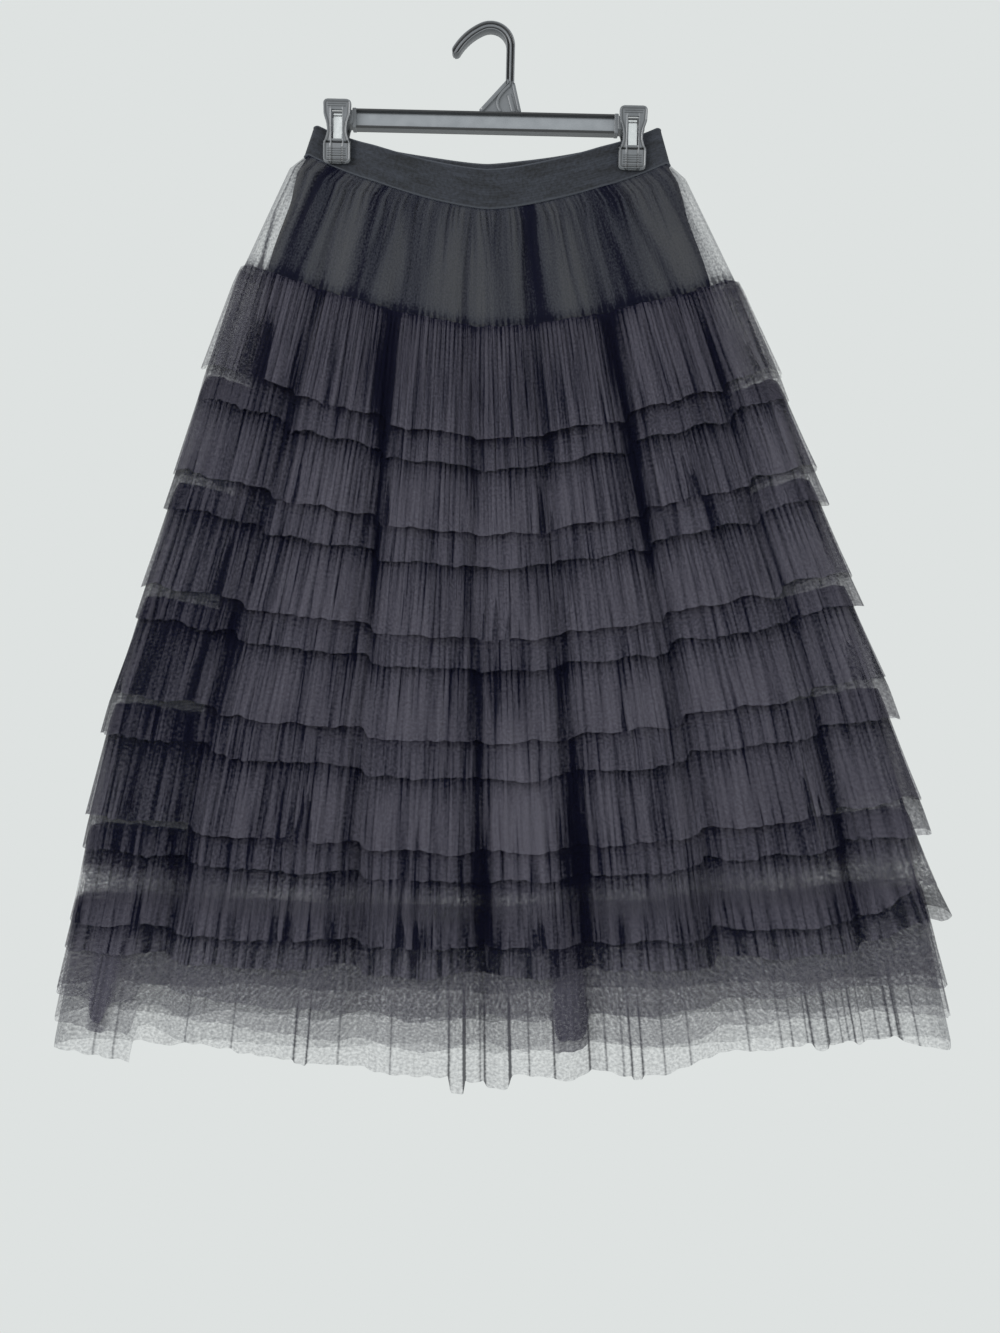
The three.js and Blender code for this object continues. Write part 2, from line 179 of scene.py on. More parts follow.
# Hook: an arc that sweeps wide to its tip, a tight arc over the shank, and the straight shank.
HOOK_CENTRE = np.array([3.2, -14.7])
HOOK_MIDDLE, HOOK_SWEEP, HOOK_BEND, HOOK_END = 19.0, 54.0, np.radians(115), np.radians(150)
SHANK_FOOT = -51.0
HOOK_HALF = 4.0
bend_way = np.array([np.cos(HOOK_BEND), np.sin(HOOK_BEND)])
wide_centre = HOOK_CENTRE - (HOOK_SWEEP - HOOK_MIDDLE) * bend_way
tip_angle = np.linspace(HOOK_END + HOOK_HALF / HOOK_SWEEP, HOOK_BEND, 24, endpoint=False)
wide_arc = wide_centre + HOOK_SWEEP * np.stack([np.cos(tip_angle), np.sin(tip_angle)], axis=1)
tight_angle = np.linspace(HOOK_BEND, 0, 36)
tight_arc = HOOK_CENTRE + HOOK_MIDDLE * np.stack([np.cos(tight_angle), np.sin(tight_angle)], axis=1)
shank_z = np.linspace(HOOK_CENTRE[1], SHANK_FOOT, 14)[1:]
shank = np.stack([np.full(13, HOOK_CENTRE[0] + HOOK_MIDDLE), shank_z], axis=1)
hook_path = np.concatenate([wide_arc, tight_arc, shank])
# I-section seen end on: rims 4.5 mm out, grooves between them and a lower rib down the middle.
groove = np.array([[-4, 4.1], [-3.7, 4.5], [-3.1, 4.5], [-2.8, 2.0], [-1.2, 2.0], [-0.9, 3.6], [0.9, 3.6],
                   [1.2, 2.0], [2.8, 2.0], [3.1, 4.5], [3.7, 4.5], [4, 4.1]])
hook_profile = np.concatenate([groove, -groove])
# Painted shade down the hook's grooves.
hook_hollow = np.tile([0, 0, 0, 1, 1, 0, 0, 1, 1, 0, 0, 0.5], 2)
from_tip = np.linalg.norm(hook_path - hook_path[0], axis=1)
rounding = np.sqrt(1 - np.clip(1 - from_tip / HOOK_HALF, 0, 0.97) ** 2)
hook = surface("hanger_hook_rib", hung(carried(hook_path, hook_profile, rounding))[:, ::-1], True,
               hollow=hook_hollow[::-1])
black_part(hook, "hanger_hook")

# Foot of the hook: a web that stands on the bar, with a rib along each slanting edge, a curved rib
# between them and a block of slanting ridges at the right.
FOOT_Z = -76.2


def ribbon_of(name, path, half, depth):
    """A rectangular rib with eased edges, `half` wide to each side and `depth` to front and back."""
    ease = 0.4
    edge = np.array([[-half, depth - ease], [-half + ease, depth],
                     [half - ease, depth], [half, depth - ease]])
    profile = np.concatenate([edge, -edge])
    return surface(name, hung(carried(path, profile, np.ones(len(path))))[:, ::-1], True)


def line(start, end):
    """A path of 12 evenly spaced points along a straight line."""
    return np.linspace(start, end, 12)


across_foot, up_foot = np.meshgrid(np.linspace(0, 1, 12), np.linspace(1, 0, 10))
left_edge = np.interp(up_foot, [0, 1], [-6.0, 18.6])
right_edge = np.interp(up_foot, [0, 0.8, 1], [32.6, 26.0, 25.8])
web_x = left_edge + (right_edge - left_edge) * across_foot
web_z = FOOT_Z + (SHANK_FOOT + 4 - FOOT_Z) * up_foot
web_front = np.stack([web_x, np.full_like(web_x, -2.6), web_z], axis=-1)
web_back = web_front[:, ::-1] * [1, -1, 1]
black_part(surface("hanger_foot_web", hung(np.concatenate([web_front, web_back], axis=1)), True))
s_bend = np.linspace(0, 1, 26)
s_path = np.stack([22.0 - 12.6 * s_bend - 4.2 * np.sin(np.pi * s_bend) + 4.6 * s_bend ** 4,
                   SHANK_FOOT + (FOOT_Z - SHANK_FOOT) * s_bend], axis=1)
black_part(ribbon_of("hanger_foot_left_rib", line((21.0, SHANK_FOOT + 4), (-4.6, FOOT_Z)), 1.7, 4.5))
black_part(ribbon_of("hanger_foot_curved_rib", s_path, 1.2, 4.2))
black_part(ribbon_of("hanger_foot_right_rib", line((25.4, SHANK_FOOT + 1), (31.8, FOOT_Z)), 1.5, 4.5))
black_part(ribbon_of("hanger_foot_ridge", line((21.5, -60.0), (26.2, FOOT_Z)), 2.0, 3.8))

# Bar: two flanges and a web in one sweep, then the end caps and the pegs that carry the clips.
BAR_TOP, BAR_LOW, BAR_HALF = -76.5, -94.5, 122.0


def bar_run(name, x0, x1, outline, hollow=0):
    """An outline in Y and Z carried along X between two ends, with both ends shut."""
    outline = np.array(outline, float)
    x = np.array([x0, x0, x0 + 0.4, x1 - 0.4, x1, x1])
    scale = np.array([0, 0.96, 1, 1, 0.96, 0])[:, None, None]
    middle = outline.mean(axis=0)
    rim = middle + (outline - middle) * scale
    points = np.stack([np.broadcast_to(x[:, None], rim.shape[:2]), rim[..., 0], rim[..., 1]], axis=-1)
    return surface(name, hung(points), True, flat=True, hollow=hollow)


def i_section(depth, web, top, low, flange):
    """Half of an I-section from its top middle down the front, then the same up the back."""
    front = [(-depth + 0.5, top), (-depth, top - 0.5), (-depth, top - flange), (-web, top - flange - 0.6),
             (-web, top - flange - 2.4), (-web, low + flange + 0.6), (-depth, low + flange),
             (-depth, low + 0.8), (-depth + 0.5, low), (-depth + 2, low)]
    return front + [(-y, z) for y, z in reversed(front)]


def block(depth, top, low):
    """A rectangle with eased corners, down its front and then up its back."""
    ease = 0.6
    front = [(-depth + ease, top), (-depth, top - ease), (-depth, low + ease), (-depth + ease, low)]
    return front + [(-y, z) for y, z in reversed(front)]


# The web mirrors the bright room and reads grey between the two black edges of the flanges: the grey
# is a painted reflection in the base colour, and the flanges' black edges are painted shade.
bar_hollow = np.array([0.2, 0.9, 0.95, 0.8, 0, 0, 0.9, 0.95, 0.95, 0.6])
bar_plastic_with_painted_reflection = plastic("moulded_polystyrene_bar", ("#7b7f84", "#94989d"), 0.3)
bar = bar_run("hanger_bar_run", -BAR_HALF, BAR_HALF, i_section(4.5, 1.5, BAR_TOP, BAR_LOW, 2.0),
              np.concatenate([bar_hollow, bar_hollow[::-1]]))
black_part(bar, "hanger_bar", finish=bar_plastic_with_painted_reflection)
for side, sign in (("left", -1), ("right", 1)):
    cap = sorted((sign * (BAR_HALF - 1), sign * (BAR_HALF + 2.6)))
    peg = sorted((sign * (BAR_HALF + 2), sign * (BAR_HALF + 11.4)))
    black_part(bar_run(f"hanger_cap_{side}", *cap, block(4.9, BAR_TOP + 0.4, BAR_LOW - 0.4)))
    black_part(bar_run(f"hanger_peg_{side}", *peg, block(6.5, BAR_TOP - 2.5, BAR_LOW + 2.5)))


# Clips: two moulded jaws a side that pinch the waistband, with a raised rim, a ribbed grip tab, a
# window, a slit over the pad and two ribs down it. A bent spring-steel strip shuts each pair.
CLIP_AT, CLIP_LOW, CLIP_HEIGHT = 138.0, -128.4, 56.0
CLIP_LEAN = np.radians(5)
PAD_Y, JAW_WALL, CORNER, RIB_AT = 3.8, 2.6, 4.2, 5.6


def jaw(name, at, facing):
    """A jaw as a height field over its width and height: the half width comes from a table with
    rounded ends, and the face is raised at the rim and the ribs and cut back at the slit."""
    up = np.linspace(CLIP_HEIGHT, 0, 113)[:, None]
    share = np.linspace(-1, 1, 51)[None, :]
    half = np.interp(up, [0, 16, 21, 26, 31, 36, 44, 56], [12.5, 12.5, 10.6, 9.1, 9.0, 9.8, 12.4, 12.9])
    rounded = np.minimum(up, CLIP_HEIGHT - up)
    half = half - CORNER + np.sqrt(np.maximum(CORNER ** 2 - np.maximum(CORNER - rounded, 0) ** 2, 0))
    x = share * half
    inset = np.minimum(half - np.abs(x), rounded)
    rim = 0.8 * np.exp(-(inset / 1.3) ** 4)
    rib = 0.6 * np.exp(-((np.abs(x) - RIB_AT) / 0.7) ** 4) * (up < 50)
    grip = 0.35 * np.sin(2 * np.pi * up / 2.1) * (np.abs(x) < 9) * ((up > 48) & (up < 54) | (up < 14))
    slit = -1.9 * np.exp(-((up - 18.2) / 0.75) ** 4) * (np.abs(np.abs(x) - RIB_AT) > 0.9) * (inset > 1.2)
    out = PAD_Y + JAW_WALL + np.tan(CLIP_LEAN) * up + rim + rib + grip + slit
    points = np.stack([facing * x + at, -facing * out, CLIP_LOW + up + 0 * x], axis=-1)
    middle_x = np.abs((x[:-1, :-1] + x[1:, 1:]) / 2)
    middle_up = (up[:-1] + up[1:]) / 2
    window = (middle_x < 4.9) & (middle_up > 21) & (middle_up < 47)
    # Painted shade in the slit, inside the raised rim, beside the ribs and between the grip's ridges.
    hollow = np.clip(-slit / 1.2, 0, 1) + 0.7 * np.exp(-((inset - 2.1) / 0.6) ** 2)
    hollow = hollow + 0.6 * np.exp(-((np.abs(x) - 4.5) / 0.5) ** 2) * (up < 20) + 0.8 * (grip < -0.2)
    piece = surface(name, hung(points), False, keep=~window, hollow=np.clip(hollow, 0, 1))
    wall = piece.modifiers.new("wall", "SOLIDIFY")
    wall.thickness, wall.offset = JAW_WALL * MM, -1
    return piece


for side, at in (("left", -CLIP_AT), ("right", CLIP_AT)):
    for face, facing in (("front", 1), ("back", -1)):
        black_part(jaw(f"clip_jaw_{side}_{face}", at, facing), f"clip_{side}_{face}")

# Spring steel, blued off and polished by rolling: a bright strip with soft, broken reflections.
steel, tree, shader = new_material("rolled_spring_steel")
shader.inputs["Metallic"].default_value = 1.0
place = node(tree, "ShaderNodeTexCoord", {}).outputs["Object"]
dents = node(tree, "ShaderNodeTexNoise", {"Vector": place, "Scale": 1 / 0.004, "Detail": 3.0})
gloss = node(tree, "ShaderNodeMapRange", {"Value": dents.outputs["Fac"], "To Min": 0.12, "To Max": 0.4})
bump = node(tree, "ShaderNodeBump", {"Height": dents.outputs["Fac"], "Strength": 0.5, "Distance": 0.0006})
tree.links.new(blend(tree, dents.outputs["Fac"], "#dfe3e6", "#f6f8f9"), shader.inputs["Base Color"])
tree.links.new(gloss.outputs["Result"], shader.inputs["Roughness"])
tree.links.new(bump.outputs["Normal"], shader.inputs["Normal"])
for side in ("left", "right"):
    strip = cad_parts[f"spring_{side}"]
    strip.data.materials.clear()
    strip.data.materials.append(steel)


# Waistband: wide ribbed elastic, woven black, closed by a seam near its left end and pinched flat
# by the clips. Its lower edge carries the gathered tulle and the lining.
WAIST_Z, LEAN, HEM_DROP, PINCH_SPREAD = -169.0, 14.0, 793.0, 0.14
# A level section of hanging cloth, in mm: its drop below the waist seam, half width, bulge to the front
# and back, radius of the side folds, rise of its sides, tilt from left to right, how much of the large
# folds it has, and how far the clips pinch it.
SECTION = ("drop", "half", "front", "back", "round", "rise", "tilt", "fold", "pinch")
BAND = dict(zip(SECTION, np.array([
    [-37.3, 163, 6, 6, 5, 40, 1, 0, 2.2],
    [-0.3, 172, 6, 6, 5, 47, 4, 0, 2.2],
]).T))
# Large folds from waist to hem: place at each end as a share of the half width, width, depth at the
# hem in mm, share of cloth tucked away, and how dark the fold's painted shade is at the top and at the hem.
FOLD = ("top", "hem", "width", "depth", "hidden", "dark_top", "dark_hem")
FRONT_FOLDS = dict(zip(FOLD, np.array([
    [-0.68, -0.80, 0.080, 14, 0.03, 0.60, 0.38],
    [-0.41, -0.32, 0.075, 19, 0.04, 1.55, 0.25],
    [-0.07, -0.03, 0.075, 17, 0.01, 0.35, 1.10],
    [0.18, 0.21, 0.075, 18, 0.01, 0.45, 1.40],
    [0.49, 0.51, 0.080, 20, 0.04, 1.60, 0.25],
    [0.84, 0.86, 0.075, 13, 0.03, 0.80, 0.70],
]).T))
BACK_FOLDS = dict(zip(FOLD, np.array([
    [-0.70, -0.76, 0.09, 10, 0.03, 0.60, 0.60],
    [-0.34, -0.40, 0.09, 11, 0.03, 0.80, 0.60],
    [0.05, 0.02, 0.09, 11, 0.01, 0.60, 0.80],
    [0.40, 0.44, 0.09, 11, 0.03, 0.70, 0.70],
    [0.74, 0.78, 0.09, 9, 0.03, 0.60, 0.60],
]).T))


def ring(front, back, arc=8, stray=0.0, seed=1):
    """Columns once round the skirt from the left side seam: round the side fold by `arc` steps,
    across the front, round the right side fold and across the back. `across` runs from -1 to 1 over
    each panel, `angle` round each side fold, and `turn` from 0 to 1 over the whole way."""
    side_turn = 0.04  # each side fold's share of a panel's way round
    angle = np.linspace(0, np.pi / 2, arc, endpoint=False)
    chance = np.random.default_rng(seed)
    panels = []
    for facing, count, start in ((1, front, 0.0), (-1, back, 0.5)):
        across = np.linspace(-1, 1, count + 1)
        across[1:-1] += chance.normal(0, stray / count, count - 1)
        bend = np.sin(angle) * side_turn
        way = np.concatenate([bend, side_turn + (across + 1) * (0.5 - side_turn), 1 - bend[:0:-1]])
        panels.append(np.stack([
            np.full(way.size, facing),
            np.concatenate([-np.ones(arc), across, np.ones(arc - 1)]),
            np.concatenate([-np.ones(arc), 0 * across, np.ones(arc - 1)]),
            np.concatenate([angle, 0 * across, angle[:0:-1]]),
            start + way / 2,
        ]))
    return dict(zip(("facing", "across", "side", "angle", "turn"), np.concatenate(panels, axis=1)))


def fold_sums(columns, drop):
    """Depth in mm and darkness of the large folds, and each column's share of the side rise. Depth is
    a wide trough with a narrow crease in it. Darkness is painted shade, where the net also lies deeper:
    a thin line with a broad shade on its left, one strength above the middle and one below. The cloth a
    fold hides makes a step in the rise."""
    depth, dark, moved, end = (np.zeros(drop.shape) for _ in range(4))
    across = np.broadcast_to(columns["across"], drop.shape)
    way = np.where(across < 0, -1.0, 1.0)
    share = np.clip(drop / HEM_DROP, 0, 1)
    for folds, facing in ((FRONT_FOLDS, 1), (BACK_FOLDS, -1)):
        here = np.broadcast_to(columns["facing"] == facing, drop.shape)
        for k in range(folds["top"].size):
            fold = {name: values[k] for name, values in folds.items()}
            at = fold["top"] + (fold["hem"] - fold["top"]) * share
            off = (across - at) / fold["width"]
            shape = 0.62 * np.exp(-off ** 2) + 0.38 * np.exp(-(off / 0.42) ** 2)
            depth += here * fold["depth"] * shape
            level = fold["dark_top"] * np.exp(-(share / 0.46) ** 4)
            level = level + fold["dark_hem"] * np.clip((share - 0.45) / 0.25, 0, 1)
            level = level * (0.8 + 0.2 * np.sin(drop / 31 + 9 * fold["top"]))
            dark += here * level * (0.72 * np.exp(-np.abs(off / 0.18) ** 1.3)
                                    + 0.34 * np.exp(-((off + 0.2) / 0.6) ** 2))
            moved += here * fold["hidden"] * np.tanh(off / 0.25)
            end += here * fold["hidden"] * np.tanh((way - at) / fold["width"] / 0.25)
    return depth, dark, moved, end, across, way


def cloth(table, columns, drop, lift):
    """Points in mm of cloth that hangs from the waist, for a grid of drops below the waist seam. A
    level section is a lens: a parabola over the front or back and a quarter circle at each side. The
    point goes out along the lens's normal by `lift` and in by the folds, then up towards the sides."""
    row = {name: np.interp(drop, table["drop"], values) for name, values in table.items()}
    depth, _, moved, end, across, way = fold_sums(columns, drop)
    facing, side, angle = (np.broadcast_to(columns[n], drop.shape) for n in ("facing", "side", "angle"))
    bulge = np.where(facing > 0, row["front"], row["back"])
    reach = row["half"] - row["round"]
    slope = 2 * across * (bulge - row["round"]) / reach
    pinched = np.exp(-((np.abs(across) - CLIP_AT / row["half"]) / PINCH_SPREAD) ** 4)
    on_side = side != 0
    normal_x = np.where(on_side, side * np.cos(angle), slope / np.hypot(slope, 1))
    normal_y = np.where(on_side, np.sin(angle), 1 / np.hypot(slope, 1))
    x = np.where(on_side, side * reach + row["round"] * normal_x, across * reach)
    arch = row["round"] + (bulge - row["round"]) * (1 - across ** 2) - row["pinch"] * pinched
    out = np.where(on_side, row["round"] * normal_y, arch)
    push = lift - np.where(on_side, 0, row["fold"] * depth)
    share = np.abs((across + row["fold"] * moved) / (way + row["fold"] * end)) ** 1.5
    lean = LEAN * np.maximum(drop, 0) / HEM_DROP
    up = WAIST_Z - drop + row["rise"] * share - row["tilt"] * facing * across
    return np.stack([facing * (x + normal_x * push) + lean, -facing * (out + normal_y * push), up], axis=-1)


def woven_elastic():
    """Braided polyester elastic. The eye sees a matte blue-black band with fine ribs round it, slightly
    lighter along both rolled edges."""
    material, tree, shader = new_material("braided_elastic")
    shader.inputs["Roughness"].default_value = 0.85
    shader.inputs["Sheen Weight"].default_value = 0.05
    shader.inputs["Sheen Roughness"].default_value = 0.4
    place = node(tree, "ShaderNodeTexCoord", {}).outputs["UV"]
    # Ribs 2.4 mm apart, coarser than life so that they show: the map's width is one turn of 0.69 m
    # and its height is in metres.
    scaled = node(tree, "ShaderNodeMapping", {"Vector": place, "Scale": (0.69 / 0.0024, 1 / 0.0024, 1)})
    weave = node(tree, "ShaderNodeTexWave", {"Vector": scaled.outputs["Vector"], "Scale": 0.32,
                                             "Distortion": 1.5, "Detail": 1.0}, bands_direction="Y")
    fuzz = node(tree, "ShaderNodeTexNoise", {"Vector": scaled.outputs["Vector"], "Scale": 0.8, "Detail": 3.0})
    # Lighter and darker stretches about 40 mm long.
    long = node(tree, "ShaderNodeMapping", {"Vector": place, "Scale": (0.69 / 0.04, 1 / 0.009, 1)})
    tone_stretches = node(tree, "ShaderNodeTexNoise", {"Vector": long.outputs["Vector"], "Scale": 1.0, "Detail": 3.0})
    mixed = node(tree, "ShaderNodeMath", {0: tone_stretches.outputs["Fac"], 1: fuzz.outputs["Fac"]}, operation="ADD")
    mixed = node(tree, "ShaderNodeMapRange", {"Value": mixed.outputs[0], "From Min": 0.75, "From Max": 1.25})
    tint = blend(tree, mixed.outputs["Result"], "#0f1218", "#2b2f38")
    rolled = blend(tree, mark(tree, "edge"), tint, "#464a52")
    height = node(tree, "ShaderNodeMath", {0: weave.outputs["Fac"], 1: fuzz.outputs["Fac"]}, operation="ADD")
    bump = node(tree, "ShaderNodeBump", {"Height": height.outputs[0], "Strength": 0.35, "Distance": 0.0005})
    tree.links.new(rolled, shader.inputs["Base Color"])
    tree.links.new(bump.outputs["Normal"], shader.inputs["Normal"])
    return material


band_ring = ring(200, 160, arc=6)
BAND_TOP, BAND_FOOT = BAND["drop"]
# The back of the band stands a little higher than the front in the middle, where it shows over it.
band_top = BAND_TOP - 10.0 * (1 - band_ring["across"] ** 2) ** 2 * (band_ring["facing"] < 0)
band_drop = band_top + (BAND_FOOT - band_top) * np.linspace(0, 1, 25)[:, None]
from_edge = np.minimum(band_drop - band_top, BAND_FOOT - band_drop)
band_edge = np.exp(-(from_edge / 1.1) ** 4)
join = np.exp(-((band_ring["across"] + 0.955) / 0.006) ** 2) * (band_ring["facing"] > 0)
band_lift = 0.5 * band_edge - 0.5 * join + 0.25 * np.sin(2 * np.pi * 9 * band_ring["turn"] + 2)
band_points = cloth(BAND, band_ring, band_drop, band_lift)
waistband = surface("waistband", band_points, True, band_ring["turn"] + 0 * band_drop, -band_drop * MM,
                    edge=band_edge)
waistband.data.materials.append(woven_elastic())
wall = waistband.modifiers.new("wall", "SOLIDIFY")
wall.thickness, wall.offset = 0.0016, -1
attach(waistband, "root")
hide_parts("waistband_front", "waistband_back")


# Lining: a plain A-line slip of opaque woven polyester, cut in two panels, sewn into the waist seam
# and left loose below, where it hangs in a few soft folds under the tulle.
LINING_HEM = 635
LINING = dict(zip(SECTION, np.array([
    [0, 172, 6, 6, 5, 47, 4, 0, 2.2],
    [14, 181, 8, 8, 5, 48, 5, 0, 1.0],
    [115, 212, 13, 10, 6, 54, 7, 0, 0],
    [LINING_HEM, 300, 17, 13, 8, 30, -5, 0, 0],
]).T))


def uneven(turn, waves, seed):
    """A wave round the skirt that never looks regular: sines with whole numbers of waves from about
    half to one and a half times `waves`, mixed with chance strengths and phases. About -1 to 1."""
    chance = np.random.default_rng(seed)
    counts = np.unique(np.rint(waves * chance.uniform(0.5, 1.5, 9)))
    strength = chance.uniform(0.4, 1, counts.size)
    phase = chance.uniform(0, 2 * np.pi, counts.size)
    total = np.zeros(np.shape(turn))
    for count, level, start in zip(counts, strength, phase):
        total = total + level * np.sin(2 * np.pi * count * turn + start)
    return total / (1.6 * np.sqrt((strength ** 2).sum() / 2))


lining_ring = ring(240, 160, arc=6)
lining_drop = np.linspace(0, 1, 40)[:, None] * (LINING_HEM + 2.0 * uneven(lining_ring["turn"], 9, 3))
lining_fall = np.clip(lining_drop / LINING_HEM, 0, 1)
lining_wave = uneven(lining_ring["turn"] + 0.004 * np.sin(5 * lining_fall), 16, 5)
lining_lift = -2.4 + 1.3 * lining_fall * lining_wave * (lining_ring["side"] == 0)
# The slip is drawn in at both sides above the first tier, where the net beside it is clear.
to_side = (1 - np.abs(lining_ring["across"])) * 200
tuck = np.where(lining_ring["across"] * lining_ring["facing"] < 0, 14, 11)
lining_lift = lining_lift - tuck * np.exp(-(to_side / 36) ** 2 - ((lining_drop - 105) / 48) ** 2)
lining_points = cloth(LINING, lining_ring, lining_drop, lining_lift)
lining = surface("lining", lining_points, True, lining_ring["turn"] + 0 * lining_drop, -lining_drop * MM)
# Polyester pongee: a smooth, close weave, brown-black, with a soft satin light along its folds.
pongee, tree, shader = new_material("polyester_pongee")
shader.inputs["Roughness"].default_value = 0.6
shader.inputs["Sheen Weight"].default_value = 0.04
place = node(tree, "ShaderNodeTexCoord", {}).outputs["UV"]
# Slubs 3 mm by 40 mm down the cloth; one turn of the map is about 1 m.
scaled = node(tree, "ShaderNodeMapping", {"Vector": place, "Scale": (1 / 0.003, 1 / 0.04, 1)})
slub = node(tree, "ShaderNodeTexNoise", {"Vector": scaled.outputs["Vector"], "Scale": 1.0, "Detail": 3.0})
bump = node(tree, "ShaderNodeBump", {"Height": slub.outputs["Fac"], "Strength": 0.15, "Distance": 0.0004})
tree.links.new(blend(tree, slub.outputs["Fac"], "#33312a", "#4b483d"), shader.inputs["Base Color"])
tree.links.new(bump.outputs["Normal"], shader.inputs["Normal"])
lining.data.materials.append(pongee)
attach(lining, "root")
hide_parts("lining_front", "lining_back")


# Tulle skirt: two long panels of soft black net, gathered into the elastic. It shows as the sheer
# yoke over the lining, carries the seven tiers, and ends in a bare cut edge below the last of them.
YOKE_FOOT, BARE_FROM = 115, 690  # drops where the first tier is sewn on and where the hem flutes start
SKIRT = dict(zip(SECTION, np.array([
    [0, 172, 6, 6, 5, 47, 4, 0, 2.2],
    [14, 187, 12, 12, 8, 48, 5, 0.1, 1.2],
    [YOKE_FOOT, 232, 21, 16, 9, 54, 7, 0.25, 0],
    [229, 266, 25, 18, 10, 70, 2, 0.43, 0],
    [317, 294, 29, 20, 11, 62, -2, 0.55, 0],
    [412, 325, 33, 22, 11, 55, -5, 0.67, 0],
    [505, 355, 36, 24, 12, 50, -7, 0.78, 0],
    [603, 380, 40, 26, 12, 34, -7, 0.9, 0],
    [658, 392, 42, 27, 13, 22, -6, 1, 0],
    [HEM_DROP, 421, 46, 29, 14, 14, -1, 1, 0],
]).T))


def tulle(name, thread, shadow, grain, gathered):
    """Nylon tulle: fine hexagon net, far finer than the render shows, so it is drawn as a veil whose
    cover comes from the cloth's own marks. The eye sees a dark haze, denser where the net is pleated,
    creased or folded, with a shimmer of grain where two nets cross and a faint dry sheen. The same
    marks darken the thread's colour towards the shadow colour: partly denser net, partly painted shade
    and, where a mark is below zero, painted light."""
    material, tree, shader = new_material(name)
    shader.inputs["Roughness"].default_value = 0.7
    shader.inputs["Specular IOR Level"].default_value = 0.06
    shader.inputs["Sheen Weight"].default_value = 0.02
    shader.inputs["Sheen Roughness"].default_value = 0.5
    place = node(tree, "ShaderNodeTexCoord", {}).outputs["UV"]

    def noise(width, height, detail, **levels):
        """Noise of a width and height in metres, its middle stretched between two levels. One turn of
        the map is about 1.4 m and its height is in metres."""
        scaled = node(tree, "ShaderNodeMapping", {"Vector": place, "Scale": (1.4 / width, 1 / height, 1)})
        made = node(tree, "ShaderNodeTexNoise", {"Vector": scaled.outputs["Vector"], "Scale": 1.0,
                                                 "Detail": detail})
        return node(tree, "ShaderNodeMapRange", {"Value": made.outputs["Fac"], **levels}).outputs["Result"]

    def reckon(operation, *values, clamp=False):
        """The result of one sum on numbers or outputs, held from 0 to 1 if clamped."""
        made = node(tree, "ShaderNodeMath", dict(enumerate(values)), operation=operation, use_clamp=clamp)
        return made.outputs[0]

    # Pressed lines 1.7 mm by 80 mm, softer streaks 6 mm by 130 mm, and the grain of crossing nets,
    # which swings the thread's shade a little and the veil's cover by its own mark. The lines and streaks
    # are partly denser net and partly painted shade along the pleats.
    lines = noise(0.0017, 0.08, 2.0, **{"From Min": 0.52, "From Max": 0.70, "To Max": 0.46})
    streaks = noise(0.006, 0.13, 1.0, **{"From Min": 0.4, "From Max": 0.68, "To Max": 0.36})
    swing = noise(grain, grain, 2.0, **{"From Min": 0.34, "From Max": 0.66, "To Min": -1.0, "To Max": 1.0})
    # Darkness from the marks, partly denser net and partly painted shade: the lines and streaks scaled by the
    # press mark, the seam, valley and hem marks, the grain, and the large folds.
    dark = reckon("MULTIPLY_ADD", reckon("ADD", lines, streaks), mark(tree, "press"), mark(tree, "crease"))
    dark = reckon("MULTIPLY_ADD", swing, 0.18, dark)
    dark = reckon("MULTIPLY_ADD", mark(tree, "fold"), 1.1, dark, clamp=True)
    veil = reckon("MULTIPLY_ADD", mark(tree, "shimmer"), swing, mark(tree, "cover"), clamp=True)
    thick = reckon("MULTIPLY", dark, reckon("SUBTRACT", 1.0, veil, clamp=True))
    alpha = reckon("MULTIPLY_ADD", thick, gathered, veil, clamp=True)
    # Painted shade: the thread's colour is mixed towards the shadow colour by that darkness, which also
    # thickens the veil where the net is denser.
    tree.links.new(blend(tree, dark, thread, shadow), shader.inputs["Base Color"])
    tree.links.new(alpha, shader.inputs["Alpha"])
    return material


def over_lining(points, drop):
    """1 where the lining hangs behind the cloth and 0 clear of it, with a soft edge 12 mm wide."""
    half = np.interp(drop, LINING["drop"], LINING["half"])
    beside = np.clip((half - np.abs(points[..., 0] - LEAN * np.maximum(drop, 0) / HEM_DROP)) / 12, 0, 1)
    return beside * np.clip((LINING_HEM - drop) / 12, 0, 1)


skirt_ring = ring(840, 380, arc=8)
across = skirt_ring["across"]
is_front = skirt_ring["facing"] > 0
flat_part = skirt_ring["side"] == 0
skirt_steps = np.concatenate([np.linspace(0, YOKE_FOOT, 26), np.linspace(125, BARE_FROM, 18),
                              np.linspace(700, HEM_DROP, 14)])
# Front hem: how far it hangs below an even curve, in mm, at places given as shares of the half width.
HEM_LINE = np.array([[-1, 0], [-0.85, 9], [-0.84, -24], [-0.69, -17], [-0.48, -8], [-0.35, 0], [0.33, 2],
                     [0.47, -4], [0.62, -13], [0.735, -15], [0.91, -9], [1, 0]]).T
# Flutes that hang lower than the rest of the hem: place and half width as shares, and drop in mm.
HEM_FLUTES = ((-0.102, 0.017, 17), (-0.034, 0.052, 9), (-0.012, 0.028, 7), (0.157, 0.041, 4),
              (0.30, 0.012, 4), (-0.45, 0.014, 3), (0.72, 0.02, 5), (0.85, 0.045, 4), (0.96, 0.05, 3))
